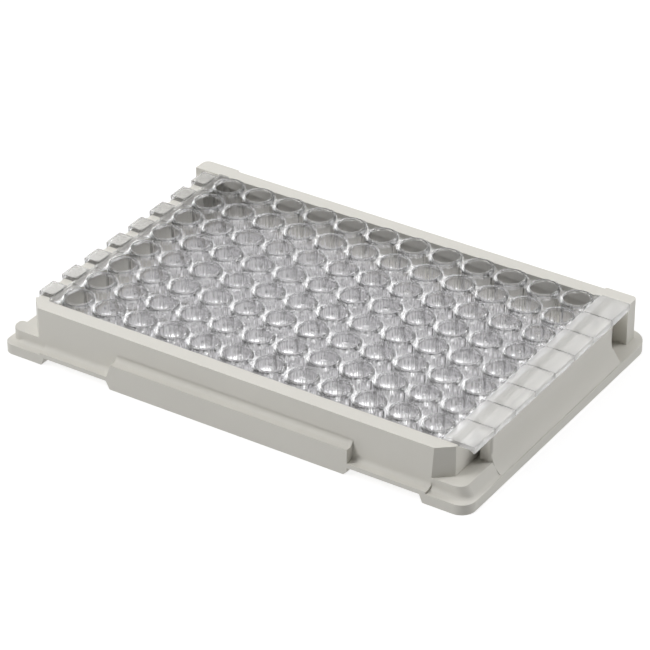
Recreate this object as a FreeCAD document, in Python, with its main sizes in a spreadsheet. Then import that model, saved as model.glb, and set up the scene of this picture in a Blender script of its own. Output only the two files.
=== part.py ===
"""Strip plate for 96 wells: one moulded frame that holds eight clear strips of twelve wells.

Millimetres, +Z up. The origin is at the centre of the footprint, on the surface that the frame
stands on. +X runs along the 127.76 mm side, from column 1 to column 12, and +Y along the
85.48 mm side, from row H to row A.
"""
import FreeCAD, Part
import math
import os
import Sketcher

doc = FreeCAD.newDocument("strip_plate")

# ---------------------------------------------------------------------------------------------
# Driving dimensions
# ---------------------------------------------------------------------------------------------
SIZES = [
    # flange: the standard footprint of a microplate
    ("flange_x", 63.88, "half of the long side"),
    ("flange_y", 42.74, "half of the short side"),
    ("flange_top", 2.65, "top of the flange"),
    ("flange_round_fl", 2.4, "plan radius of the front left flange corner"),
    ("flange_round_fr", 3.8, "plan radius of the front right flange corner"),
    ("flange_round_br", 5.6, "plan radius of the back right flange corner"),
    ("flange_round_bl", 3.1, "plan radius of the back left flange corner"),
    # upper wall
    ("wall_top", 13.4, "top of the long walls and corner posts"),
    ("wall_y", 40.2, "outer face of the long walls at their foot"),
    ("wall_y_top", 39.85, "outer face of the long walls at the top"),
    ("draft_from", 4.0, "height where the draft of the long walls starts"),
    ("left_x", 58.4, "outer face of the left end wall"),
    ("right_x", 61.0, "outer face of the right end wall, under its band"),
    ("band_x", 61.3, "outer face of the band at the top of the right end wall"),
    ("band_low", 7.9, "lower edge of that band"),
    ("block_x", 57.2, "outer face of the inner right wall"),
    ("front_l_x", 54.9, "front left chamfer, where it leaves the front wall"),
    ("front_l_y", 36.4, "front left chamfer, where it meets the left wall"),
    ("front_r_x", 53.0, "front right chamfer, where it leaves the front wall"),
    ("front_r_y", 36.7, "front right chamfer, where it meets the inner right wall"),
    ("end_front_y", 28.0, "front end of the right end wall"),
    ("end_back_y", 28.0, "back end of the right end wall"),
    ("step_end_y", 28.5, "back end of the step under that wall"),
    ("end_round", 0.8, "plan radius of the outer corners of the right end wall"),
    ("post_x", 60.9, "right face of the back right post"),
    ("post_l_x", 62.4, "left face of the back left post"),
    ("post_back", 40.5, "back face of both posts"),
    ("post_in", 52.5, "where a post ends along the back wall"),
    ("post_l_round", 1.8, "plan radius of the back left post"),
    ("post_r_round", 1.2, "plan radius of the back right post"),
    # step between the flange and the upper wall
    ("step_top", 5.5, "top of the low step at the corners"),
    ("step_l_x", 61.6, "left face of the step"),
    ("step_r_x", 61.3, "right face of the step at its top"),
    ("step_r_foot", 63.1, "right face of the step at its foot"),
    ("step_round", 2.5, "plan radius of the front corners of the step"),
    ("cove", 1.3, "radius of the cove between step and flange"),
    ("boss_x", 63.3, "left face of the boss at the front left corner"),
    ("boss_y", 36.1, "back face of that boss"),
    ("boss_round", 1.0, "plan radius of its back corner"),
    # scooped face under the band of the right end wall
    ("scoop_foot", 63.6, "where the scoop meets the flange"),
    ("scoop_round", 6.6, "radius of the scoop"),
    ("scoop_front", 27.5, "front end of the scoop"),
    # front ledge and finger grip
    ("ledge_top", 3.2, "top of the raised front ledge"),
    ("ledge_under", 2.05, "underside of the raised front ledge"),
    ("ledge_l", 53.15, "left end of the raised ledge"),
    ("ledge_r", 53.1, "right end of the raised ledge"),
    ("foot_l_low", 52.8, "left foot, its end at the bottom"),
    ("foot_l_high", 51.9, "left foot, its end at the ledge"),
    ("foot_r_low", 52.25, "right foot, its end at the bottom"),
    ("foot_r_high", 51.45, "right foot, its end at the ledge"),
    ("ledge_cove", 1.4, "radius of the cove above the ledge"),
    ("grip_x", 32.5, "half length of the finger grip"),
    ("grip_toe", 34.1, "left toe of the finger grip"),
    ("grip_toe_z", 2.3, "height of that toe"),
    ("grip_foot", 32.9, "left end of the grip at the bottom"),
    ("grip_top", 6.8, "top of the finger grip"),
    ("grip_cove", 1.3, "radius of the cove above the grip"),
    # seats of the strips
    ("seat_z", 13.0, "top of the end walls, which the strips rest on"),
    ("lip_z", 12.4, "outer edge of the sloping top of the right end wall"),
    ("slope_x", 60.0, "where that slope starts"),
    ("open_l", 54.6, "left edge of the opening"),
    ("open_r", 54.9, "right edge of the opening"),
    ("open_y", 35.9, "half width of the opening"),
    ("open_round", 1.0, "corner radius of the opening"),
    ("trough_end", 26.8, "half length of the trough under the right tabs"),
    ("trough_low", 11.2, "floor of that trough"),
    ("slit_x", 58.3, "right side of the slits in the ends of the right end wall"),
    ("slit_top", 8.6, "top of those slits"),
    # hollows under the frame
    ("skin", 1.3, "thickness of the walls"),
    ("core_out", 38.85, "outer side of the channel in a long wall"),
    ("core_in", 37.1, "outer side of the lip that hangs at the opening"),
    ("core_top", 12.1, "top of the channel in a long wall"),
    ("core_end", 53.6, "half length of that channel"),
    ("lip_low", 10.7, "lower edge of that lip"),
    ("plate_low", 11.7, "underside of the left seat"),
    ("under_top", 4.2, "top of the hollows under the step and the trough"),
    ("rim_in", 41.5, "inner side of the rim under the back ledge"),
    ("rim_top", 1.4, "top of the groove behind that rim"),
    # strips
    ("pitch", 9.0, "distance from well to well and from row to row"),
    ("first_x", 49.5, "distance of the first and last wells from the middle"),
    ("well_in_top", 3.35, "inner radius of a well at its mouth"),
    ("well_in_low", 3.17, "inner radius of a well at its floor"),
    ("well_out_top", 3.95, "outer radius of a well under the deck"),
    ("well_out_low", 3.70, "outer radius of a well at its bottom"),
    ("well_floor", 3.35, "height of the well floor inside"),
    ("well_bottom", 2.3, "height of the well bottom outside"),
    ("well_edge", 0.35, "chamfer round the well bottom"),
    ("collar", 4.3, "outer radius of the deck round a well"),
    ("rim_out", 3.78, "outer radius of the raised rim"),
    ("rim_z", 14.2, "top of the rims, fingers and tabs"),
    ("deck_z", 13.85, "top of the deck"),
    ("web", 1.4, "half width of the webs between wells"),
    ("finger_tip", 59.0, "left end of a finger"),
    ("finger_half", 2.7, "half width of a finger"),
    ("finger_lip", 12.2, "lower edge of the lip at the finger tip"),
    ("root_out", 55.0, "left end of the root plate"),
    ("root_in", 52.4, "right end of the root plate"),
    ("plate_half", 4.3, "half width of the root plate and of the tab"),
    ("tab_end", 61.4, "right end of a tab"),
    ("tab_in", 52.4, "left end of a tab"),
    ("tab_step", 54.0, "where a tab rises to its full height"),
]

sheet = doc.addObject("Spreadsheet::Sheet", "size")
sheet.set("A1", "name")
sheet.set("B1", "value, mm")
sheet.set("C1", "what it is")
SIZE = {}
for row, (name, value, what) in enumerate(SIZES, start=2):
    sheet.set("A%d" % row, name)
    sheet.set("B%d" % row, str(value))
    sheet.set("C%d" % row, what)
    sheet.setAlias("B%d" % row, name)
    SIZE[name] = value
doc.recompute()


# ---------------------------------------------------------------------------------------------
# Sizes are sums such as "wall_top - skin", used both as numbers and as bound expressions
# ---------------------------------------------------------------------------------------------
def number(text):
    total, sign = 0.0, 1.0
    for word in str(text).split():
        if word == "+":
            sign = 1.0
        elif word == "-":
            sign = -1.0
        else:
            total += sign * (SIZE[word] if word in SIZE else float(word))
            sign = 1.0
    return total


def bound(text, flip=False):
    words = ["size." + w if w in SIZE else w for w in str(text).split()]
    joined = " ".join(words)
    if joined.startswith("- "):
        joined = "0 " + joined
    return "-(%s)" % joined if flip else joined


def origin_plane(body, role):
    for feature in body.Origin.OriginFeatures:
        if feature.Role == role:
            return feature
    raise RuntimeError("no origin feature " + role)


def outline(body, name, plane, offset, corners, shift=None):
    """A closed outline. corners holds (a, b) for a corner, or ("arc", radius, side) between two
    corners for an arc instead of a straight line; side is +1 or -1, the side of the centre."""
    sketch = body.newObject("Sketcher::SketchObject", name)
    sketch.AttachmentSupport = [(origin_plane(body, plane), "")]
    sketch.MapMode = "FlatFace"
    if offset is not None:
        sketch.setExpression("AttachmentOffset.Base.z", bound(offset[0], offset[1]))
    if shift is not None:
        sketch.setExpression("AttachmentOffset.Base.x", bound(shift))
    points, arcs = [], {}
    for item in corners:
        if item[0] == "arc":
            arcs[len(points) - 1] = item
        else:
            points.append(item)
    place = [FreeCAD.Vector(number(a), number(b), 0) for a, b in points]
    count = len(points)
    for i in range(count):
        p, q = place[i], place[(i + 1) % count]
        if i in arcs:
            radius, side = number(arcs[i][1]), arcs[i][2]
            middle = (p + q) * 0.5
            half = (q - p).Length / 2
            across = FreeCAD.Vector(-(q - p).y, (q - p).x, 0).normalize()
            centre = middle + across * (side * math.sqrt(max(radius ** 2 - half ** 2, 0)))
            start = math.atan2(p.y - centre.y, p.x - centre.x)
            end = math.atan2(q.y - centre.y, q.x - centre.x)
            # with the centre on the left the arc runs anticlockwise from p to q
            if side > 0:
                sketch.addGeometry(Part.ArcOfCircle(Part.Circle(centre, FreeCAD.Vector(0, 0, 1), radius), start, end), False)
            else:
                sketch.addGeometry(Part.ArcOfCircle(Part.Circle(centre, FreeCAD.Vector(0, 0, 1), radius), end, start), False)
        else:
            sketch.addGeometry(Part.LineSegment(p, q), False)

    def first(i):
        return 2 if i in arcs and arcs[i][2] < 0 else 1

    def last(i):
        return 1 if i in arcs and arcs[i][2] < 0 else 2

    for i in range(count):
        sketch.addConstraint(Sketcher.Constraint("Coincident", i, last(i), (i + 1) % count, first((i + 1) % count)))
    for i in range(count):
        for kind, text, value in (("DistanceX", points[i][0], place[i].x), ("DistanceY", points[i][1], place[i].y)):
            if abs(value) < 1e-9:
                axis = -2 if kind == "DistanceX" else -1
                sketch.addConstraint(Sketcher.Constraint("PointOnObject", i, first(i), axis))
            elif value > 0:
                n = sketch.addConstraint(Sketcher.Constraint(kind, -1, 1, i, first(i), value))
                sketch.setExpression("Constraints[%d]" % n, bound(text))
            else:
                n = sketch.addConstraint(Sketcher.Constraint(kind, i, first(i), -1, 1, -value))
                sketch.setExpression("Constraints[%d]" % n, bound(text, True))
        if i in arcs:
            n = sketch.addConstraint(Sketcher.Constraint("Radius", i, number(arcs[i][1])))
            sketch.setExpression("Constraints[%d]" % n, bound(arcs[i][1]))
    return sketch


def span(low, high):
    """high - low as one sum."""
    words = str(low).split()
    if words[0] not in ("+", "-"):
        words = ["+"] + words
    turned = [{"+": "-", "-": "+"}.get(w, w) for w in words]
    return "%s %s" % (high, " ".join(turned))


def volume(body):
    doc.recompute()
    return body.Shape.Volume


def pad(body, name, plane, low, high, corners):
    """Material between two positions on the axis across the plane."""
    before = body.Shape.Volume if body.Tip else 0.0
    offset = (low, False) if plane != "XZ_Plane" else (high, True)
    sketch = outline(body, name + "_outline", plane, offset, corners)
    feature = body.newObject("PartDesign::Pad", name)
    feature.Profile = sketch
    feature.setExpression("Length", bound(span(low, high)))
    after = volume(body)
    if after <= before + 1e-6:
        raise RuntimeError("%s added nothing" % name)
    return feature


def pocket(body, name, plane, low, high, corners):
    """A cut between two positions on the axis across the plane."""
    before = body.Shape.Volume
    offset = (high, False) if plane != "XZ_Plane" else (low, True)
    sketch = outline(body, name + "_outline", plane, offset, corners)
    feature = body.newObject("PartDesign::Pocket", name)
    feature.Profile = sketch
    feature.setExpression("Length", bound(span(low, high)))
    after = volume(body)
    if after >= before - 1e-6:
        raise RuntimeError("%s cut nothing" % name)
    return feature


def box_corners(x0, x1, y0, y1):
    return [(x0, y0), (x1, y0), (x1, y1), (x0, y1)]


def round_edges(body, name, radius, pick):
    base = body.Tip
    names = []
    for i, edge in enumerate(base.Shape.Edges, start=1):
        if pick(edge):
            names.append("Edge%d" % i)
    if not names:
        raise RuntimeError("%s found no edge" % name)
    feature = body.newObject("PartDesign::Fillet", name)
    feature.Base = (base, names)
    feature.setExpression("Radius", bound(radius))
    doc.recompute()
    if "Invalid" in feature.State or "Error" in feature.State or feature.Shape.isNull() or not feature.Shape.isValid():
        raise RuntimeError("%s could not be made on %s" % (name, names))
    return feature


def near(a, b, slack=0.02):
    return abs(a - b) < slack


def upright(edge):
    a, b = edge.Vertexes[0].Point, edge.Vertexes[-1].Point
    return near(a.x, b.x, 1e-3) and near(a.y, b.y, 1e-3) and abs(a.z - b.z) > 0.1


# ---------------------------------------------------------------------------------------------
# Frame: one moulding
# ---------------------------------------------------------------------------------------------
def make_frame():
    body = doc.addObject("PartDesign::Body", "frame")
    body.Label = "frame"
    body.Placement = FreeCAD.Placement()

    # flange all round, on the surface
    pad(body, "flange", "XY_Plane", "0", "flange_top", box_corners("- flange_x", "flange_x", "- flange_y", "flange_y"))
    for corner, sx, sy in (("fl", -1, -1), ("fr", 1, -1), ("br", 1, 1), ("bl", -1, 1)):
        round_edges(body, "flange_corner_" + corner, "flange_round_" + corner,
                    lambda e: upright(e) and near(e.CenterOfMass.x, sx * SIZE["flange_x"]) and near(e.CenterOfMass.y, sy * SIZE["flange_y"]))

    # low step: its right face slopes, its other faces are upright
    pad(body, "step", "XZ_Plane", "- wall_y", "step_end_y", [
        ("- step_l_x", "1"), ("step_r_foot", "1"), ("step_r_foot", "flange_top"),
        ("step_r_x", "step_top"), ("- step_l_x", "step_top")])
    yf = -SIZE["wall_y"]

    def front_corner(edge):
        a, b = edge.Vertexes[0].Point, edge.Vertexes[-1].Point
        return near(a.y, yf) and near(b.y, yf) and abs(a.z - b.z) > 1 and abs(a.x) > 61

    round_edges(body, "step_corners", "step_round", front_corner)

    def step_foot(edge):
        a, b = edge.Vertexes[0].Point, edge.Vertexes[-1].Point
        z = SIZE["flange_top"]
        on_foot = near(a.z, z) and near(b.z, z)
        mid = edge.CenterOfMass
        return on_foot and abs(mid.x) < 63.5 and mid.y < -37 and mid.y > -40.5

    round_edges(body, "step_cove", "cove", step_foot)

    # boss at the front left corner of the step
    pad(body, "boss", "XY_Plane", "1", "step_top", box_corners("- boss_x", "- boss_x + 4", "- wall_y", "- boss_y"))
    round_edges(body, "boss_front", "step_round", lambda e: upright(e) and near(e.CenterOfMass.x, -SIZE["boss_x"]) and near(e.CenterOfMass.y, yf))
    round_edges(body, "boss_back", "boss_round", lambda e: upright(e) and near(e.CenterOfMass.x, -SIZE["boss_x"]) and near(e.CenterOfMass.y, -SIZE["boss_y"]))

    # left side of the step, on to the back left post
    pad(body, "step_left", "XY_Plane", "0", "step_top",
        box_corners("- step_l_x", "- left_x + 1", "20", "open_y + 1"))

    # upper wall: both front corners are cut back, the right end wall stands between two notches
    pad(body, "upper_wall", "XY_Plane", "0", "wall_top", [
        ("- front_l_x", "- wall_y"), ("front_r_x", "- wall_y"), ("block_x", "- front_r_y"),
        ("block_x", "- end_front_y"), ("right_x", "- end_front_y"), ("right_x", "end_back_y"),
        ("block_x", "end_back_y"), ("block_x", "open_y"), ("post_x", "open_y"), ("post_x", "post_back"),
        ("post_in", "post_back"), ("post_in", "wall_y"), ("- post_in", "wall_y"), ("- post_in", "post_back"),
        ("- post_l_x", "post_back"), ("- post_l_x", "open_y"), ("- left_x", "open_y"), ("- left_x", "- front_l_y")])
    round_edges(body, "back_left_post", "post_l_round", lambda e: upright(e) and near(e.CenterOfMass.x, -SIZE["post_l_x"]) and near(e.CenterOfMass.y, SIZE["post_back"]))
    round_edges(body, "back_right_post", "post_r_round", lambda e: upright(e) and near(e.CenterOfMass.x, SIZE["post_x"]) and near(e.CenterOfMass.y, SIZE["post_back"]))

    # band at the top of the right end wall, and the scoop under it
    pad(body, "band", "XY_Plane", "band_low", "seat_z", box_corners("block_x", "band_x", "- end_front_y", "end_back_y"))
    round_edges(body, "end_corner", "end_round", lambda e: upright(e) and near(e.CenterOfMass.x, SIZE["band_x"]) and near(abs(e.CenterOfMass.y), SIZE["end_front_y"]))
    pad(body, "scoop", "XZ_Plane", "- scoop_front", "end_back_y", [
        ("block_x", "1"), ("scoop_foot", "1"), ("scoop_foot", "flange_top"), ("arc", "scoop_round", -1),
        ("right_x", "band_low"), ("block_x", "band_low")])

    # raised front ledge with a cove above it
    pad(body, "front_ledge", "XY_Plane", "1", "ledge_top", box_corners("- ledge_l", "ledge_r", "- flange_y", "- wall_y + 1"))
    pad(body, "ledge_cove_pad", "YZ_Plane", "- ledge_l", "ledge_r", [
        ("- wall_y - ledge_cove", "ledge_top"), ("- wall_y + 1", "ledge_top"), ("- wall_y + 1", "ledge_top + ledge_cove"),
        ("- wall_y", "ledge_top + ledge_cove"), ("arc", "ledge_cove", -1)])
    # cove above the back ledge
    pad(body, "back_cove", "YZ_Plane", "- post_in", "post_in", [
        ("wall_y - 1", "flange_top"), ("wall_y + cove", "flange_top"), ("arc", "cove", -1),
        ("wall_y", "flange_top + cove"), ("wall_y - 1", "flange_top + cove")])

    # open gap under the raised ledge, between the two feet
    pocket(body, "gap", "XZ_Plane", "- flange_y - 1", "- wall_y", [
        ("- foot_l_low - 0.4", "- 1"), ("foot_r_low + 0.4", "- 1"), ("foot_r_high", "ledge_under"), ("- foot_l_high", "ledge_under")])

    # finger grip in the middle of the front
    pad(body, "grip", "XZ_Plane", "- flange_y", "- wall_y + 1", [
        ("- grip_foot", "0"), ("grip_x - 0.9", "0"), ("grip_x", "0.9"), ("grip_x", "grip_top"),
        ("- grip_x", "grip_top"), ("- grip_toe", "grip_toe_z")])
    pad(body, "grip_cove_pad", "YZ_Plane", "- grip_x", "grip_x", [
        ("- wall_y - grip_cove", "grip_top"), ("- wall_y + 1", "grip_top"), ("- wall_y + 1", "grip_top + grip_cove"),
        ("- wall_y", "grip_top + grip_cove"), ("arc", "grip_cove", -1)])

    # draft on the outer faces of both long walls
    pocket(body, "draft_front", "YZ_Plane", "- flange_x", "flange_x", [
        ("- wall_y", "draft_from + 0.7"), ("- wall_y_top", "wall_top"), ("- wall_y_top", "wall_top + 1"), ("- wall_y - 1", "wall_top + 1"), ("- wall_y - 1", "grip_top + grip_cove"), ("- wall_y", "grip_top + grip_cove")])
    pocket(body, "draft_back", "YZ_Plane", "- post_in", "post_in", [
        ("wall_y", "draft_from"), ("wall_y + 1", "wall_top + 1"), ("wall_y_top", "wall_top + 1"), ("wall_y_top", "wall_top")])

    # opening for the wells
    pocket(body, "opening", "XY_Plane", "- 1", "wall_top + 1", box_corners("- open_l", "open_r", "- open_y", "open_y"))
    round_edges(body, "opening_corners", "open_round", lambda e: upright(e) and near(abs(e.CenterOfMass.y), SIZE["open_y"]) and abs(e.CenterOfMass.x) < 55.2)

    # seats for the strips on both end walls
    pocket(body, "seat_left", "XY_Plane", "seat_z", "wall_top + 1", box_corners("- flange_x", "- open_l + 1.5", "- open_y", "open_y"))
    pocket(body, "seat_right", "XY_Plane", "seat_z", "wall_top + 1", box_corners("open_r - 1.5", "flange_x", "- open_y", "open_y"))
    pocket(body, "seat_slope", "XZ_Plane", "- end_front_y - 0.5", "end_back_y + 0.5", [
        ("slope_x", "seat_z"), ("band_x", "lip_z"), ("band_x + 0.5", "lip_z"), ("band_x + 0.5", "seat_z + 1"), ("slope_x", "seat_z + 1")])
    pocket(body, "trough", "XY_Plane", "trough_low", "seat_z + 1", box_corners("block_x", "slope_x", "- trough_end", "trough_end"))
    pocket(body, "slit_front", "XY_Plane", "step_top", "slit_top", box_corners("block_x", "slit_x", "- end_front_y - 1", "- end_front_y + 6"))
    pocket(body, "slit_back", "XY_Plane", "step_top", "slit_top", box_corners("block_x", "slit_x", "end_back_y - 6", "end_back_y + 1"))

    # hollows from beneath: each long wall is a channel, with a lip that hangs at the opening
    pocket(body, "channel_front", "YZ_Plane", "- core_end", "core_end", [
        ("- core_out", "- 1"), ("- open_y + 0.5", "- 1"), ("- open_y + 0.5", "lip_low"), ("- core_in", "lip_low"),
        ("- core_in", "core_top"), ("- core_out", "core_top")])
    pocket(body, "channel_back", "YZ_Plane", "- core_end", "core_end", [
        ("open_y - 0.5", "- 1"), ("core_out", "- 1"), ("core_out", "core_top"), ("core_in", "core_top"),
        ("core_in", "lip_low"), ("open_y - 0.5", "lip_low")])
    pocket(body, "grip_hollow", "XY_Plane", "- 1", "grip_top - skin",
           box_corners("- grip_x + skin", "grip_x - skin", "- flange_y + skin", "- core_out"))
    pocket(body, "left_hollow", "XY_Plane", "- 1", "plate_low", box_corners("- left_x + skin", "- open_l + 0.5", "- open_y + 1", "open_y - 2"))
    pocket(body, "left_step_hollow", "XY_Plane", "- 1", "under_top", box_corners("- step_l_x + skin", "- left_x", "- open_y", "open_y - 3"))
    pocket(body, "right_hollow", "XY_Plane", "- 1", "under_top", box_corners("block_x + 0.2", "right_x - 0.1", "- wall_y + 2.4", "end_back_y - 1.4"))
    pocket(body, "back_groove", "XY_Plane", "- 1", "rim_top", box_corners("- step_l_x + 1", "step_r_x - 1", "wall_y - 0.2", "rim_in"))
    return body


# ---------------------------------------------------------------------------------------------
# Strip: twelve wells in a row, one clear moulding
# ---------------------------------------------------------------------------------------------
def row_of(body, name, feature, along):
    pattern = body.newObject("PartDesign::LinearPattern", name)
    pattern.Originals = [feature]
    pattern.Direction = (origin_plane(body, "X_Axis"), [""])
    pattern.setExpression("Length", "11 * size.pitch")
    pattern.Occurrences = 12
    body.Tip = pattern
    doc.recompute()
    return pattern


def make_strip(label, row_y):
    body = doc.addObject("PartDesign::Body", label)
    body.Label = label

    outside = outline(body, label + "_well_outside", "XZ_Plane", None, [
        ("0", "well_bottom"), ("well_out_low - well_edge", "well_bottom"), ("well_out_low", "well_bottom + well_edge"),
        ("well_out_top", "seat_z"), ("collar", "seat_z"), ("collar", "deck_z"), ("rim_out", "deck_z"), ("rim_out", "rim_z"), ("0", "rim_z")],
        shift="- first_x")
    well = body.newObject("PartDesign::Revolution", label + "_well")
    well.Profile = outside
    well.ReferenceAxis = (outside, ["V_Axis"])
    well.Angle = 360
    doc.recompute()
    row_of(body, label + "_wells", well, "X")

    pad(body, label + "_web", "XY_Plane", "seat_z", "deck_z", box_corners("- first_x", "first_x", "- web", "web"))
    pad(body, label + "_root", "XY_Plane", "seat_z", "deck_z", [
        ("- root_out", "- plate_half"), ("- root_in", "- plate_half"), ("- first_x - 1", "- web"), ("- first_x - 1", "web"),
        ("- root_in", "plate_half"), ("- root_out", "plate_half")])
    pad(body, label + "_finger", "XZ_Plane", "- finger_half", "finger_half", [
        ("- root_in - 0.4", "seat_z"), ("- root_in - 0.4", "deck_z"), ("- root_out + 0.5", "deck_z"), ("- root_out + 0.2", "rim_z"), ("- finger_tip", "rim_z"),
        ("- finger_tip", "finger_lip"), ("- left_x", "finger_lip"), ("- left_x", "seat_z")])
    pad(body, label + "_tab", "XZ_Plane", "- plate_half", "plate_half", [
        ("tab_in", "seat_z"), ("slope_x", "seat_z"), ("tab_end - 0.1", "lip_z"), ("tab_end", "lip_z"), ("tab_end", "rim_z"),
        ("tab_step", "rim_z"), ("tab_step - 0.3", "deck_z"), ("tab_in", "deck_z")])
    pad(body, label + "_tab_root", "XY_Plane", "seat_z", "deck_z", [
        ("first_x + 1", "- web"), ("tab_in", "- plate_half"), ("tab_in + 0.5", "- plate_half"), ("tab_in + 0.5", "plate_half"), ("tab_in", "plate_half"), ("first_x + 1", "web")])

    inside = outline(body, label + "_well_inside", "XZ_Plane", None, [
        ("0", "well_floor"), ("well_in_low", "well_floor"), ("well_in_top", "rim_z"), ("well_in_top", "rim_z + 1"), ("0", "rim_z + 1")],
        shift="- first_x")
    groove = body.newObject("PartDesign::Groove", label + "_hollow")
    groove.Profile = inside
    groove.ReferenceAxis = (inside, ["V_Axis"])
    groove.Angle = 360
    before = body.Shape.Volume
    doc.recompute()
    row_of(body, label + "_hollows", groove, "X")
    if body.Shape.Volume > before - 12 * 300:
        raise RuntimeError("the wells of %s are not hollow" % label)
    body.Placement = FreeCAD.Placement(FreeCAD.Vector(0, row_y, 0), FreeCAD.Rotation())
    body.setExpression("Placement.Base.y", "%g * size.pitch" % (row_y / SIZE["pitch"]))
    return body


def copy_strip(first, label, row_y):
    """Another strip from the same mould: a clone of the first one in its own row."""
    body = doc.addObject("PartDesign::Body", label)
    body.Label = label
    clone = doc.addObject("PartDesign::FeatureBase", label + "_clone")
    clone.BaseFeature = first
    body.Group = [clone]
    body.Tip = clone
    doc.recompute()
    shift = row_y - body.Shape.BoundBox.Center.y
    body.Placement = FreeCAD.Placement(FreeCAD.Vector(0, shift, 0), FreeCAD.Rotation())
    return body


bodies = [make_frame()]
for number_of_row, letter in enumerate("abcdefgh"):
    row_y = (3.5 - number_of_row) * SIZE["pitch"]
    if number_of_row == 0:
        bodies.append(make_strip("strip_" + letter, row_y))
    else:
        bodies.append(copy_strip(bodies[1], "strip_" + letter, row_y))
doc.recompute()

# ---------------------------------------------------------------------------------------------
# Check every object, then write one STEP file for each piece
# ---------------------------------------------------------------------------------------------
for item in doc.Objects:
    if "Invalid" in item.State or "Error" in item.State:
        raise RuntimeError("%s failed: %s" % (item.Name, item.State))
    if item.isDerivedFrom("PartDesign::Feature") and (item.Shape.isNull() or not item.Shape.isValid()):
        raise RuntimeError("%s has no valid shape" % item.Name)
for body in bodies:
    if body.Shape.isNull() or not body.Shape.isValid() or len(body.Shape.Solids) != 1:
        raise RuntimeError("%s is not one valid solid" % body.Label)

os.makedirs("parts", exist_ok=True)
for body in bodies:
    body.Shape.exportStep("parts/%s.step" % body.Label)
    box = body.Shape.BoundBox
    print("%-8s %9.1f mm3  x %.2f..%.2f  y %.2f..%.2f  z %.2f..%.2f" % (
        body.Label, body.Shape.Volume, box.XMin, box.XMax, box.YMin, box.YMax, box.ZMin, box.ZMax))
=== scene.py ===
"""Looks of the strip plate: white moulded frame and eight clear strips of twelve wells.

Metres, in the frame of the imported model. Lengths in the mesh code are in millimetres and are scaled at the end.
"""
import math

import bmesh
import bpy
import numpy as np
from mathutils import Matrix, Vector
from mathutils.geometry import delaunay_2d_cdt


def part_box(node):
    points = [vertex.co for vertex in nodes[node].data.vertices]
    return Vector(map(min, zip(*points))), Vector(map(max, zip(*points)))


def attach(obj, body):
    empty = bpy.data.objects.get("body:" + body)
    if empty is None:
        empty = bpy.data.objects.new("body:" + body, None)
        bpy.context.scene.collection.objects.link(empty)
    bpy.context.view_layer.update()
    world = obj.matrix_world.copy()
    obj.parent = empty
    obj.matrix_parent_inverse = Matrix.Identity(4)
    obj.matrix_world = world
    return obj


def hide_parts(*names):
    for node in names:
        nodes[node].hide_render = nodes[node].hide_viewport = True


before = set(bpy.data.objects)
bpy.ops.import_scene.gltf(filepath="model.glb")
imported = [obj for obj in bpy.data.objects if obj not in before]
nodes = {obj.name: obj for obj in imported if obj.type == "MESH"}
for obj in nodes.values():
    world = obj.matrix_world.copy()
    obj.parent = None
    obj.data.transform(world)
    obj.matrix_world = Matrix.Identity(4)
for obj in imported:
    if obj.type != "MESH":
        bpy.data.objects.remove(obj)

MM = 0.001
scene = bpy.context.scene
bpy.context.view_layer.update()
STRIPS = sorted(n for n in nodes if n.startswith("strip_"))


# ------------------------------------------------------------------------------------------
# Mesh helpers
# ------------------------------------------------------------------------------------------
def new_object(name, verts, faces):
    """A mesh object in millimetre units."""
    mesh = bpy.data.meshes.new(name)
    mesh.from_pydata([tuple(v) for v in verts], [], faces)
    mesh.validate()
    mesh.update()
    obj = bpy.data.objects.new(name, mesh)
    scene.collection.objects.link(obj)
    return obj


def harden(mesh, split=50.0, flat=0.4):
    """Loop normals in which each vertex takes the normal of the larger flat patches round it, so that small
    roundings shade smoothly into flat faces, and edges sharper than split stay sharp."""
    count = len(mesh.polygons)
    normals = np.empty(count * 3)
    mesh.polygons.foreach_get("normal", normals)
    normals = normals.reshape(-1, 3)
    areas = np.empty(count)
    mesh.polygons.foreach_get("area", areas)
    parent = np.arange(count)

    def root(i):
        while parent[i] != i:
            parent[i] = parent[parent[i]]
            i = parent[i]
        return i

    of_edge = {}
    for p in mesh.polygons:
        for key in p.edge_keys:
            of_edge.setdefault(key, []).append(p.index)
    limit = math.cos(math.radians(flat))
    for faces in of_edge.values():
        if len(faces) == 2 and float(normals[faces[0]] @ normals[faces[1]]) > limit:
            a, b = root(faces[0]), root(faces[1])
            if a != b:
                parent[a] = b
    patch = np.array([root(i) for i in range(count)])
    patch_area = np.bincount(patch, weights=areas, minlength=count)
    weight = patch_area[patch]
    around = [[] for _ in mesh.vertices]
    for p in mesh.polygons:
        for v in p.vertices:
            around[v].append(p.index)
    sharp = math.cos(math.radians(split))
    out = []
    for p in mesh.polygons:
        n = normals[p.index]
        for v in p.vertices:
            near = np.array(around[v])
            close = near[normals[near] @ n > sharp]
            # one share for each patch that meets at the vertex
            keys, first = np.unique(patch[close], return_index=True)
            close = close[first]
            total = (normals[close] * weight[close, None]).sum(0)
            length = float(np.linalg.norm(total))
            out.append(tuple(total / length) if length > 1e-12 else tuple(n))
    for p in mesh.polygons:
        p.use_smooth = True
    mesh.normals_split_custom_set(out)


# ------------------------------------------------------------------------------------------
# Strip: one closed surface with twelve wells
# ------------------------------------------------------------------------------------------
PITCH, FIRST = 9.0, -49.5
SEG = 60
COLLAR, WEB, PLATE = 4.3, 1.75, 4.3
SEAT, UNDER, DECK, RIM = 13.0, 13.3, 13.85, 14.2
R_IN, R_OUT, R_RIM = 3.35, 3.95, 3.62
EDGE = 0.09
PLASTIC = 1.53


def arc(cx, cy, r, a0, a1, n):
    return [(cx + r * math.cos(a0 + (a1 - a0) * i / n), cy + r * math.sin(a0 + (a1 - a0) * i / n)) for i in range(n + 1)]


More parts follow.
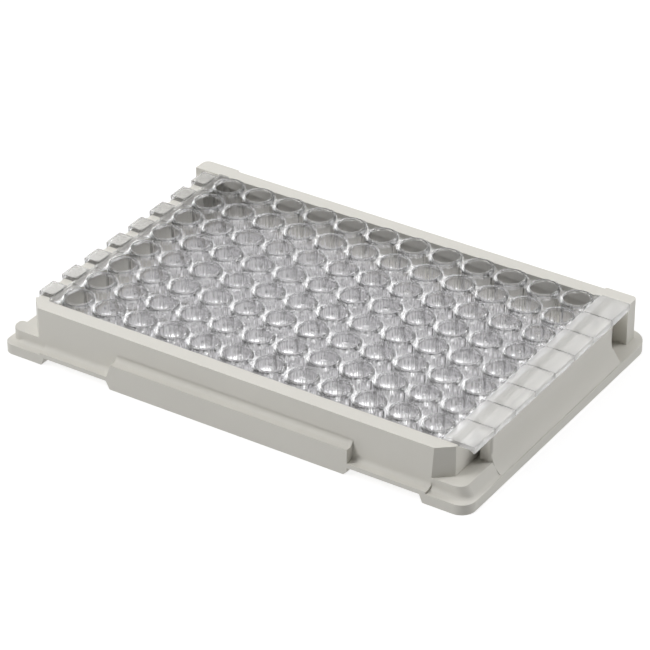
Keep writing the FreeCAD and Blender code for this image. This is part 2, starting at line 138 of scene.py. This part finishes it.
def deck_outline():
    """Anticlockwise outline of the deck, seen from above."""
    top = []
    left, right = -55.0, 55.2
    notch = math.asin((WEB + 0.35) / COLLAR)
    lead = math.radians(124.2)
    top += arc(left + 0.35, PLATE - 0.35, 0.35, math.pi, math.pi / 2, 4)
    top += [(-52.45, PLATE), (-52.2, PLATE - 0.25)]
    for c in range(12):
        cx = FIRST + PITCH * c
        a0 = lead if c == 0 else math.pi - notch
        a1 = math.pi - lead if c == 11 else notch
        n = max(6, round(abs(a0 - a1) / (2 * math.pi) * 64))
        top += arc(cx, 0, COLLAR, a0, a1, n)
        if c < 11:
            # the notch between two collars is a small round valley
            half = PITCH / 2 - COLLAR * math.cos(notch)
            for k in (-0.82, -0.55, -0.28, 0.0, 0.28, 0.55, 0.82):
                top.append((cx + PITCH / 2 + half * k, WEB + 0.35 * (1 - math.sqrt(1 - k * k))))
    top += [(52.2, PLATE - 0.25), (52.45, PLATE - 0.04), (right, PLATE - 0.04)]
    bottom = [(x, -y) for x, y in reversed(top)]
    return list(reversed(top + bottom))


def inset(points, d):
    """The outline moved inwards by d along its vertex normals (anticlockwise outline)."""
    out = []
    n = len(points)
    for i in range(n):
        ax, ay = points[i - 1]
        bx, by = points[i]
        cx, cy = points[(i + 1) % n]
        e1, e2 = Vector((bx - ax, by - ay)), Vector((cx - bx, cy - by))
        e1.normalize()
        e2.normalize()
        n1, n2 = Vector((-e1.y, e1.x)), Vector((-e2.y, e2.x))
        m = n1 + n2
        k = m.length_squared / 2
        m = m / max(k, 0.4)
        out.append((bx + m.x * d, by + m.y * d))
    return out


def well_profile_inside():
    """From the rim's foot on the deck, over the mouth's edge, down to the floor: (radius, height)."""
    p = [(R_RIM + 0.07, DECK), (R_RIM + 0.02, DECK + 0.02), (R_RIM, DECK + 0.07), (R_RIM - 0.01, RIM - 0.12),
         (R_RIM - 0.025, RIM - 0.06), (R_RIM - 0.06, RIM - 0.018), (R_RIM - 0.12, RIM)]
    b = 0.12
    for i in range(0, 4):
        a = math.radians(90 + 30 * i)
        p.append((R_IN + b + b * math.cos(a), RIM - b + b * math.sin(a)))
    top_z, low_z, low_r, f = RIM - b, 3.35, 3.17, 1.1
    for k in (0.08, 0.2, 0.35, 0.5, 0.65, 0.8, 0.92):
        z = top_z + (low_z + f - top_z) * k
        p.append((R_IN + (low_r - R_IN) * (top_z - z) / (top_z - low_z), z))
    for i in range(0, 9):
        a = math.radians(11.25 * i)
        p.append((low_r - f + f * math.cos(a), low_z + f - f * math.sin(a)))
    return p


def well_profile_outside():
    """From under the deck down the outside to the bottom: (radius, height)."""
    low_z, low_r = 2.3, 3.70
    drop, wide = 0.3, 4.12
    r1 = R_OUT + (low_r - R_OUT) * drop / (UNDER - low_z)
    p = [(wide - (wide - r1) * math.cos(math.radians(a)), UNDER - drop + drop * math.sin(math.radians(a))) for a in (90, 74, 58, 43, 28, 14, 0)]
    f = 0.6
    for k in (0.12, 0.28, 0.44, 0.6, 0.75, 0.88, 0.96):
        z = UNDER - drop + (low_z + f - UNDER + drop) * k
        p.append((R_OUT + (low_r - R_OUT) * (UNDER - z) / (UNDER - low_z), z))
    for i in range(0, 9):
        a = math.radians(11.25 * i)
        p.append((low_r - f + f * math.cos(a), low_z + f - f * math.sin(a)))
    return p


def deck_and_wells():
    verts, faces = [], []

    def add(points):
        start = len(verts)
        verts.extend(points)
        return list(range(start, len(verts)))

    outline = deck_outline()
    e = 0.09
    levels = [(inset(outline, e), UNDER), (inset(outline, e * 0.3), UNDER + e * 0.3), (outline, UNDER + e)]
    levels += [(inset(outline, EDGE * (1 - math.cos(math.radians(a)))), DECK - EDGE * (1 - math.sin(math.radians(a)))) for a in (0, 22, 45, 68, 90)]
    rings = [add([(x, y, z) for x, y in pts]) for pts, z in levels]
    n = len(outline)
    for a, b in zip(rings, rings[1:]):
        for i in range(n):
            j = (i + 1) % n
            faces.append((a[i], a[j], b[j], b[i]))

    def lathe(cx, profile, up):
        loops = []
        for r, z in profile:
            loops.append(add([(cx + r * math.cos(2 * math.pi * i / SEG), r * math.sin(2 * math.pi * i / SEG), z) for i in range(SEG)]))
        for a, b in zip(loops, loops[1:]):
            for i in range(SEG):
                j = (i + 1) % SEG
                faces.append((a[i], a[j], b[j], b[i]) if up else (a[j], a[i], b[i], b[j]))
        # the floor, in two more rings and a fan
        r0, z0 = profile[-1]
        last = loops[-1]
        for k in (0.66, 0.33):
            ring = add([(cx + r0 * k * math.cos(2 * math.pi * i / SEG), r0 * k * math.sin(2 * math.pi * i / SEG), z0) for i in range(SEG)])
            for i in range(SEG):
                j = (i + 1) % SEG
                faces.append((last[i], last[j], ring[j], ring[i]) if up else (last[j], last[i], ring[i], ring[j]))
            last = ring
        centre = add([(cx, 0, z0)])[0]
        for i in range(SEG):
            j = (i + 1) % SEG
            faces.append((last[i], last[j], centre) if up else (last[j], last[i], centre))
        return loops[0]

    tops, lows = [], []
    for c in range(12):
        cx = FIRST + PITCH * c
        tops.append(lathe(cx, well_profile_inside(), True))
        lows.append(lathe(cx, well_profile_outside(), False))

    def cap(outer, holes, up):
        """Flat face between an outline and round holes."""
        loops = [outer] + holes
        flat = [i for loop in loops for i in loop]
        at = {v: k for k, v in enumerate(flat)}
        coords = [Vector((verts[i][0], verts[i][1])) for i in flat]
        edges = []
        for loop in loops:
            for k, v in enumerate(loop):
                edges.append((at[v], at[loop[(k + 1) % len(loop)]]))
        res = delaunay_2d_cdt(coords, edges, [], 0, 1e-7)
        centres = [(FIRST + PITCH * c, 0) for c in range(12)]
        hole_r = math.hypot(verts[holes[0][0]][0] - centres[0][0], verts[holes[0][0]][1])
        ring = [(verts[i][0], verts[i][1]) for i in outer]

        def in_outline(x, y):
            hit = False
            for k in range(len(ring)):
                (x1, y1), (x2, y2) = ring[k - 1], ring[k]
                if (y1 > y) != (y2 > y) and x < (x2 - x1) * (y - y1) / (y2 - y1) + x1:
                    hit = not hit
            return hit

        origin = res[3]
        for tri in res[2]:
            ids = [flat[origin[k][0]] for k in tri]
            mx = sum(verts[i][0] for i in ids) / 3
            my = sum(verts[i][1] for i in ids) / 3
            nearest = min(range(12), key=lambda c: abs(centres[c][0] - mx))
            if math.hypot(mx - centres[nearest][0], my) < hole_r * math.cos(math.pi / SEG) - 1e-6:
                if all(abs(math.hypot(verts[i][0] - centres[nearest][0], verts[i][1]) - hole_r) < 1e-4 for i in ids):
                    continue
            if not in_outline(mx, my):
                continue
            (ax, ay, _), (bx, by, _), (cx, cy, _) = (verts[i] for i in ids)
            area = (bx - ax) * (cy - ay) - (by - ay) * (cx - ax)
            if abs(area) < 1e-9:
                continue
            if (area > 0) != up:
                ids.reverse()
            faces.append(tuple(ids))

    cap(rings[-1], tops, True)
    cap(rings[0], lows, False)
    return verts, faces


def prism(profile, half, edge):
    """A profile in X and Z, anticlockwise seen from -Y, extruded along Y with small chamfered ends."""
    verts, faces = [], []
    small = inset(profile, edge)
    mid = inset(profile, edge * 0.3)
    rings = []
    for pts, y in ((small, -half), (mid, -half + edge * 0.3), (profile, -half + edge), (profile, half - edge), (mid, half - edge * 0.3), (small, half)):
        start = len(verts)
        verts.extend((x, y, z) for x, z in pts)
        rings.append(list(range(start, len(verts))))
    n = len(profile)
    for a, b in zip(rings, rings[1:]):
        for i in range(n):
            j = (i + 1) % n
            faces.append((a[i], b[i], b[j], a[j]))
    faces.append(tuple(rings[0]))
    faces.append(tuple(reversed(rings[-1])))
    return verts, faces


def rounded(points, radii, n=4):
    """A polygon with rounded corners; a radius of 0 leaves a corner as it is."""
    out = []
    count = len(points)
    for i in range(count):
        p = Vector(points[i])
        a, b = Vector(points[i - 1]) - p, Vector(points[(i + 1) % count]) - p
        r = radii[i] if i < len(radii) else 0
        if r <= 0:
            out.append(tuple(p))
            continue
        la, lb = a.length, b.length
        a.normalize()
        b.normalize()
        angle = a.angle(b)
        t = min(r / math.tan(angle / 2), la * 0.48, lb * 0.48)
        r2 = t * math.tan(angle / 2)
        centre = p + (a + b).normalized() * (r2 / math.sin(angle / 2))
        s, e = p + a * t - centre, p + b * t - centre
        a0, a1 = math.atan2(s.y, s.x), math.atan2(e.y, e.x)
        d = (a1 - a0 + math.pi) % (2 * math.pi) - math.pi
        out += [(centre.x + r2 * math.cos(a0 + d * k / n), centre.y + r2 * math.sin(a0 + d * k / n)) for k in range(n + 1)]
    return out


def union(base, others):
    for k, other in enumerate(others):
        mod = base.modifiers.new("join%d" % k, "BOOLEAN")
        mod.operation = "UNION"
        mod.solver = "MANIFOLD"
        mod.object = other
    bpy.context.view_layer.update()
    dg = bpy.context.evaluated_depsgraph_get()
    mesh = bpy.data.meshes.new_from_object(base.evaluated_get(dg))
    base.modifiers.clear()
    old = base.data
    base.data = mesh
    bpy.data.meshes.remove(old)
    for other in others:
        bpy.data.objects.remove(other)
    return base


def make_strip_mesh():
    base = new_object("strip_base", *deck_and_wells())
    finger = rounded([(-53.4, SEAT), (-53.4, DECK - 0.02), (-54.55, DECK - 0.02), (-54.8, RIM), (-59.0, RIM), (-59.0, 12.2), (-58.42, 12.2), (-58.42, SEAT)][::-1],
                     [0.1, 0.15, 0.2, 0.35, 0.1, 0.1, 0, 0], 4)[::-1]
    tab = rounded([(52.6, SEAT), (60.0, SEAT), (61.32, 12.42), (61.4, 12.45), (61.4, RIM), (54.0, RIM), (53.7, DECK - 0.02), (52.6, DECK - 0.02)],
                  [0, 0.3, 0.05, 0.05, 0.3, 0.15, 0, 0], 4)
    root = [(-54.95, SEAT), (-52.75, SEAT), (-52.75, 13.6), (-54.95, 13.6)]
    finger_obj = new_object("strip_finger", *prism(finger, 2.7, 0.12))
    root_obj = new_object("strip_root", *prism(root, PLATE - 0.03, 0.06))
    tab_obj = new_object("strip_tab", *prism(tab, PLATE + 0.08, 0.12))
    for o in (base, finger_obj, root_obj, tab_obj):
        bm = bmesh.new()
        bm.from_mesh(o.data)
        bmesh.ops.remove_doubles(bm, verts=bm.verts, dist=1e-5)
        bmesh.ops.recalc_face_normals(bm, faces=bm.faces)
        bm.to_mesh(o.data)
        bm.free()
    union(base, [root_obj, finger_obj, tab_obj])
    mesh = base.data
    bpy.data.objects.remove(base)
    bm = bmesh.new()
    bm.from_mesh(mesh)
    bmesh.ops.remove_doubles(bm, verts=bm.verts, dist=1e-3)
    bmesh.ops.dissolve_degenerate(bm, edges=bm.edges, dist=1e-4)
    bmesh.ops.scale(bm, vec=(MM, MM, MM), verts=bm.verts)
    bm.to_mesh(mesh)
    bm.free()
    mesh.update()
    return mesh



# ------------------------------------------------------------------------------------------
# Frame: the CAD shape with its moulded edges rounded
# ------------------------------------------------------------------------------------------
def make_frame_mesh():
    src = nodes["frame"]
    mesh = bpy.data.meshes.new("frame_moulded")
    bm = bmesh.new()
    bm.from_mesh(src.data)
    bmesh.ops.transform(bm, matrix=src.matrix_world, verts=bm.verts)
    bmesh.ops.scale(bm, vec=(1000, 1000, 1000), verts=bm.verts)
    bmesh.ops.remove_doubles(bm, verts=bm.verts, dist=2e-3)
    bmesh.ops.dissolve_degenerate(bm, edges=bm.edges, dist=1e-4)
    bmesh.ops.dissolve_limit(bm, angle_limit=math.radians(0.6), verts=bm.verts, edges=bm.edges, use_dissolve_boundaries=False)
    edges = [e for e in bm.edges if len(e.link_faces) == 2 and e.calc_face_angle(0) > math.radians(28)]
    bmesh.ops.bevel(bm, geom=edges, offset=0.16, offset_type="OFFSET", segments=3, profile=0.5, affect="EDGES", clamp_overlap=True)
    bmesh.ops.scale(bm, vec=(MM, MM, MM), verts=bm.verts)
    bm.to_mesh(mesh)
    bm.free()
    mesh.materials.clear()
    return mesh


# ------------------------------------------------------------------------------------------
# Materials
# ------------------------------------------------------------------------------------------
def material(name):
    m = bpy.data.materials.new(name)
    m.use_nodes = True
    t = m.node_tree
    t.nodes.clear()
    return m, t, t.nodes, t.links


def frame_material():
    m, t, n, l = material("frame_plastic")
    out = n.new("ShaderNodeOutputMaterial")
    b = n.new("ShaderNodeBsdfPrincipled")
    b.inputs["Roughness"].default_value = 0.45
    b.inputs["Specular IOR Level"].default_value = 0.25
    b.inputs["IOR"].default_value = 1.49
    co = n.new("ShaderNodeTexCoord")
    big = n.new("ShaderNodeTexNoise")
    big.inputs["Scale"].default_value = 60
    big.inputs["Detail"].default_value = 3
    l.new(co.outputs["Object"], big.inputs["Vector"])
    ramp = n.new("ShaderNodeValToRGB")
    ramp.color_ramp.elements[0].position = 0.3
    ramp.color_ramp.elements[0].color = (0.735, 0.718, 0.665, 1)
    ramp.color_ramp.elements[1].position = 0.7
    ramp.color_ramp.elements[1].color = (0.755, 0.738, 0.685, 1)
    l.new(big.outputs["Fac"], ramp.inputs["Fac"])
    l.new(ramp.outputs["Color"], b.inputs["Base Color"])
    fine = n.new("ShaderNodeTexNoise")
    fine.inputs["Scale"].default_value = 2600
    fine.inputs["Detail"].default_value = 2
    l.new(co.outputs["Object"], fine.inputs["Vector"])
    bump = n.new("ShaderNodeBump")
    bump.inputs["Strength"].default_value = 0.12
    bump.inputs["Distance"].default_value = 0.00004
    l.new(fine.outputs["Fac"], bump.inputs["Height"])
    l.new(bump.outputs["Normal"], b.inputs["Normal"])
    l.new(b.outputs["BSDF"], out.inputs["Surface"])
    return m


def strip_material():
    m, t, n, l = material("clear_plastic")

    def math_node(kind, a, b=None):
        node = n.new("ShaderNodeMath")
        node.operation = kind
        for k, v in enumerate((a, b)):
            if v is None:
                continue
            if isinstance(v, (int, float)):
                node.inputs[k].default_value = v
            else:
                l.new(v, node.inputs[k])
        return node.outputs["Value"]

    def step(value, low, high, to_low=0.0, to_high=1.0):
        node = n.new("ShaderNodeMapRange")
        node.interpolation_type = "SMOOTHSTEP"
        for key, v in (("From Min", low), ("From Max", high), ("To Min", to_low), ("To Max", to_high)):
            node.inputs[key].default_value = v
        l.new(value, node.inputs["Value"])
        return node.outputs["Result"]

    out = n.new("ShaderNodeOutputMaterial")
    b = n.new("ShaderNodeBsdfPrincipled")
    b.inputs["Transmission Weight"].default_value = 1.0
    b.inputs["Roughness"].default_value = 0.015
    b.inputs["IOR"].default_value = PLASTIC
    co = n.new("ShaderNodeTexCoord")
    wave = n.new("ShaderNodeTexNoise")
    wave.inputs["Scale"].default_value = 260
    wave.inputs["Detail"].default_value = 2
    l.new(co.outputs["Object"], wave.inputs["Vector"])
    ramp = n.new("ShaderNodeValToRGB")
    ramp.color_ramp.elements[0].position = 0.3
    ramp.color_ramp.elements[0].color = (0.958, 0.955, 0.962, 1)
    ramp.color_ramp.elements[1].position = 0.7
    ramp.color_ramp.elements[1].color = (0.974, 0.971, 0.978, 1)
    l.new(wave.outputs["Fac"], ramp.inputs["Fac"])
    l.new(ramp.outputs["Color"], b.inputs["Base Color"])
    # the upright walls carry fine drawing marks, which run down them; flat faces have almost none
    stretch = n.new("ShaderNodeVectorMath")
    stretch.operation = "MULTIPLY"
    stretch.inputs[1].default_value = (1.0, 1.0, 0.045)
    l.new(co.outputs["Object"], stretch.inputs[0])
    marks = n.new("ShaderNodeTexNoise")
    marks.inputs["Scale"].default_value = 1500
    marks.inputs["Detail"].default_value = 1.5
    l.new(stretch.outputs["Vector"], marks.inputs["Vector"])
    geo = n.new("ShaderNodeNewGeometry")
    face = n.new("ShaderNodeSeparateXYZ")
    l.new(geo.outputs["Normal"], face.inputs["Vector"])
    size_z = n.new("ShaderNodeMath")
    size_z.operation = "ABSOLUTE"
    l.new(face.outputs["Z"], size_z.inputs[0])
    upright = n.new("ShaderNodeMapRange")
    for key, value in (("From Min", 0.1), ("From Max", 0.6), ("To Min", 1.0), ("To Max", 0.05)):
        upright.inputs[key].default_value = value
    l.new(size_z.outputs["Value"], upright.inputs["Value"])
    height = n.new("ShaderNodeMath")
    height.operation = "MULTIPLY"
    l.new(marks.outputs["Fac"], height.inputs[0])
    l.new(upright.outputs["Result"], height.inputs[1])
    bump = n.new("ShaderNodeBump")
    bump.inputs["Strength"].default_value = 0.5
    bump.inputs["Distance"].default_value = 0.00038
    l.new(height.outputs["Value"], bump.inputs["Height"])
    l.new(bump.outputs["Normal"], b.inputs["Normal"])
    clear = n.new("ShaderNodeBsdfTransparent")
    clear.inputs["Color"].default_value = (0.98, 0.98, 0.98, 1)
    path = n.new("ShaderNodeLightPath")
    place = n.new("ShaderNodeSeparateXYZ")
    l.new(co.outputs["Object"], place.inputs["Vector"])
    # painted glint: a fixed white emission, brighter than white, in the bottom corner at the back of each well, mixed
    # into the clear plastic
    across = math_node("SUBTRACT", math_node("FLOORED_MODULO", math_node("ADD", place.outputs["X"], 0.054), 0.009), 0.0045)
    painted_glint_mask = math_node("MULTIPLY", step(math_node("ABSOLUTE", across), 0.0004, 0.0019, 1.0, 0.0), step(place.outputs["Y"], 0.0022, 0.0031))
    painted_glint_mask = math_node("MULTIPLY", painted_glint_mask, step(place.outputs["Z"], 0.0028, 0.0035, 1.0, 0.0))
    # the painted glint itself, an emission that glows under any lamp
    painted_glint = n.new("ShaderNodeEmission")
    painted_glint.inputs["Color"].default_value = (1, 1, 1, 1)
    painted_glint.inputs["Strength"].default_value = 2.5
    glint_mix = n.new("ShaderNodeMixShader")
    l.new(math_node("MULTIPLY", painted_glint_mask, 0.9), glint_mix.inputs["Fac"])
    l.new(b.outputs["BSDF"], glint_mix.inputs[1])
    l.new(painted_glint.outputs["Emission"], glint_mix.inputs[2])
    straight = n.new("ShaderNodeBsdfTransparent")
    straight.inputs["Color"].default_value = (0.97, 0.97, 0.975, 1)
    soft = n.new("ShaderNodeMixShader")
    # the deck between the mouths is thin and even, and hides little of what lies under it
    radius = math_node("SQRT", math_node("ADD", math_node("POWER", across, 2.0), math_node("POWER", place.outputs["Y"], 2.0)))
    thin = math_node("MULTIPLY", step(radius, 0.00368, 0.00385, 0.08, 0.50), step(place.outputs["Z"], 0.0125, 0.0130))
    l.new(thin, soft.inputs["Fac"])
    l.new(glint_mix.outputs["Shader"], soft.inputs[1])
    l.new(straight.outputs["BSDF"], soft.inputs[2])
    # the tabs and fingers are slightly milky
    milk = n.new("ShaderNodeBsdfDiffuse")
    milk.inputs["Color"].default_value = (0.86, 0.855, 0.84, 1)
    ends = math_node("ADD", step(place.outputs["X"], 0.0528, 0.0536, 0.0, 0.34), step(place.outputs["X"], -0.0550, -0.0538, 0.10, 0.0))
    hazy = n.new("ShaderNodeMixShader")
    l.new(ends, hazy.inputs["Fac"])
    l.new(soft.outputs["Shader"], hazy.inputs[1])
    l.new(milk.outputs["BSDF"], hazy.inputs[2])
    # painted light: rays that have met more than ten surfaces end in a fixed emission in the mean tone of the room,
    # in place of the light they would carry
    deep = n.new("ShaderNodeMath")
    deep.operation = "GREATER_THAN"
    deep.inputs[1].default_value = 10.5
    l.new(path.outputs["Ray Depth"], deep.inputs[0])
    # the painted fill light, a faint emission
    painted_fill = n.new("ShaderNodeEmission")
    painted_fill.name = "painted_mean_tone"
    painted_fill.inputs["Color"].default_value = (1.0, 0.99, 0.995, 1)
    painted_fill.inputs["Strength"].default_value = 0.18
    last = n.new("ShaderNodeMixShader")
    l.new(deep.outputs["Value"], last.inputs["Fac"])
    l.new(hazy.outputs["Shader"], last.inputs[1])
    l.new(painted_fill.outputs["Emission"], last.inputs[2])
    shade = n.new("ShaderNodeMixShader")
    l.new(path.outputs["Is Shadow Ray"], shade.inputs["Fac"])
    l.new(last.outputs["Shader"], shade.inputs[1])
    l.new(clear.outputs["BSDF"], shade.inputs[2])
    l.new(shade.outputs["Shader"], out.inputs["Surface"])
    return m


def floor_material():
    m, t, n, l = material("floor_white")
    out = n.new("ShaderNodeOutputMaterial")
    d = n.new("ShaderNodeBsdfDiffuse")
    d.inputs["Color"].default_value = (0.35, 0.35, 0.35, 1)
    e = n.new("ShaderNodeEmission")
    e.inputs["Color"].default_value = (1, 1, 1, 1)
    e.inputs["Strength"].default_value = 0.80
    add = n.new("ShaderNodeAddShader")
    l.new(d.outputs["BSDF"], add.inputs[0])
    l.new(e.outputs["Emission"], add.inputs[1])
    # the backdrop is seen white, and throws less light on the object than it shows
    low = n.new("ShaderNodeEmission")
    low.name = "floor_throw"
    low.inputs["Color"].default_value = (1, 1, 1, 1)
    low.inputs["Strength"].default_value = 0.40
    add2 = n.new("ShaderNodeAddShader")
    l.new(d.outputs["BSDF"], add2.inputs[0])
    l.new(low.outputs["Emission"], add2.inputs[1])
    path = n.new("ShaderNodeLightPath")
    mix = n.new("ShaderNodeMixShader")
    l.new(path.outputs["Is Camera Ray"], mix.inputs["Fac"])
    l.new(add2.outputs["Shader"], mix.inputs[1])
    l.new(add.outputs["Shader"], mix.inputs[2])
    l.new(mix.outputs["Shader"], out.inputs["Surface"])
    return m


# ------------------------------------------------------------------------------------------
# Build
# ------------------------------------------------------------------------------------------
white = frame_material()
frame_mesh = make_frame_mesh()
frame_mesh.materials.append(white)
harden(frame_mesh)
frame_piece = bpy.data.objects.new("frame_piece", frame_mesh)
scene.collection.objects.link(frame_piece)
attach(frame_piece, "root")
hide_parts("frame")

clear = strip_material()
strip_mesh = make_strip_mesh()
strip_mesh.materials.clear()
strip_mesh.materials.append(clear)
harden(strip_mesh)
for name in STRIPS:
    lo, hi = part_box(name)
    piece = bpy.data.objects.new(name + "_piece", strip_mesh)
    piece.location = (0, (lo[1] + hi[1]) / 2, 0)
    scene.collection.objects.link(piece)
    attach(piece, "root")
    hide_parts(name)

# ------------------------------------------------------------------------------------------
# Floor, lights, camera
# ------------------------------------------------------------------------------------------
floor_mesh = bpy.data.meshes.new("floor")
s = 3.0
floor_mesh.from_pydata([(-s, -s, 0), (s, -s, 0), (s, s, 0), (-s, s, 0)], [], [(0, 1, 2, 3)])
floor = bpy.data.objects.new("floor", floor_mesh)
floor.location.z = -0.00005
scene.collection.objects.link(floor)
floor_mesh.materials.append(floor_material())


def area_light(name, azimuth, elevation, distance, width, height, power, colour=(1, 1, 1), through=True):
    """A soft light; azimuth 0 is in front (-Y), 90 is at +X."""
    a, e = math.radians(azimuth), math.radians(elevation)
    place = Vector((math.sin(a) * math.cos(e), -math.cos(a) * math.cos(e), math.sin(e))) * distance
    lamp = bpy.data.lights.new(name, "AREA")
    lamp.shape = "RECTANGLE"
    lamp.size, lamp.size_y = width, height
    lamp.energy = power
    lamp.color = colour
    obj = bpy.data.objects.new(name, lamp)
    obj.location = place
    obj.rotation_euler = (-place).to_track_quat("-Z", "Y").to_euler()
    scene.collection.objects.link(obj)
    obj.visible_transmission = through
    return obj


area_light("key", -43, 38, 1.4, 0.55, 0.55, 6.7)
area_light("key_high", -40, 56, 1.4, 0.5, 0.5, 3.2)
area_light("side", 135, 35, 1.4, 0.6, 0.6, 8.0, through=False)
area_light("left", -90, 60, 1.4, 0.5, 0.5, 2.5)
area_light("back_left", -140, 40, 1.4, 0.5, 0.5, 1.6, through=False)
area_light("top", 0, 88, 1.4, 1.0, 1.0, 2.5)

world = bpy.data.worlds.new("room")
scene.world = world
world.use_nodes = True
wt = world.node_tree
back = wt.nodes["Background"]
back.inputs["Color"].default_value = (1, 1, 1, 1)
back.inputs["Strength"].default_value = 0.02
# gloss and clear plastic see the pale walls of the room, which light the object only a little
walls = wt.nodes.new("ShaderNodeBackground")
walls.name = "room_walls"
walls.inputs["Color"].default_value = (1, 1, 1, 1)
# they are brightest low at the back, where a white backdrop stands
aim = wt.nodes.new("ShaderNodeTexCoord")
parts = wt.nodes.new("ShaderNodeSeparateXYZ")
wt.links.new(aim.outputs["Generated"], parts.inputs["Vector"])
far = wt.nodes.new("ShaderNodeMapRange")
far.interpolation_type = "SMOOTHSTEP"
for key, value in (("From Min", -0.3), ("From Max", 0.6), ("To Min", 0.24), ("To Max", 1.65)):
    far.inputs[key].default_value = value
wt.links.new(parts.outputs["Y"], far.inputs["Value"])
high_up = wt.nodes.new("ShaderNodeMapRange")
high_up.interpolation_type = "SMOOTHSTEP"
for key, value in (("From Min", 0.25), ("From Max", 0.8), ("To Min", 1.0), ("To Max", 0.45)):
    high_up.inputs[key].default_value = value
wt.links.new(parts.outputs["Z"], high_up.inputs["Value"])
level = wt.nodes.new("ShaderNodeMath")
level.operation = "MULTIPLY"
wt.links.new(far.outputs["Result"], level.inputs[0])
wt.links.new(high_up.outputs["Result"], level.inputs[1])
wt.links.new(level.outputs["Value"], walls.inputs["Strength"])
seen = wt.nodes.new("ShaderNodeLightPath")
both = wt.nodes.new("ShaderNodeMixShader")
wt.links.new(seen.outputs["Is Diffuse Ray"], both.inputs["Fac"])
wt.links.new(walls.outputs["Background"], both.inputs[1])
wt.links.new(back.outputs["Background"], both.inputs[2])
wt.links.new(both.outputs["Shader"], wt.nodes["World Output"].inputs["Surface"])

scene.view_settings.view_transform = "Standard"
scene.view_settings.look = "None"
scene.view_settings.exposure = 0
scene.view_settings.gamma = 1

cam = bpy.data.cameras.new("camera")
cam.sensor_width = 36
cam.lens = 3350.8 * 36 / 650
cam.clip_start = 0.01
cam.clip_end = 20
eye = bpy.data.objects.new("camera", cam)
eye.location = Vector((363.553, -566.590, 424.925)) * MM
eye.rotation_euler = Vector((-0.459275, 0.714378, -0.527949)).to_track_quat("-Z", "Y").to_euler()
scene.collection.objects.link(eye)
scene.camera = eye

scene.cycles.max_bounces = 14
scene.cycles.transmission_bounces = 14
scene.cycles.transparent_max_bounces = 16
scene.cycles.caustics_refractive = False
scene.cycles.caustics_reflective = False
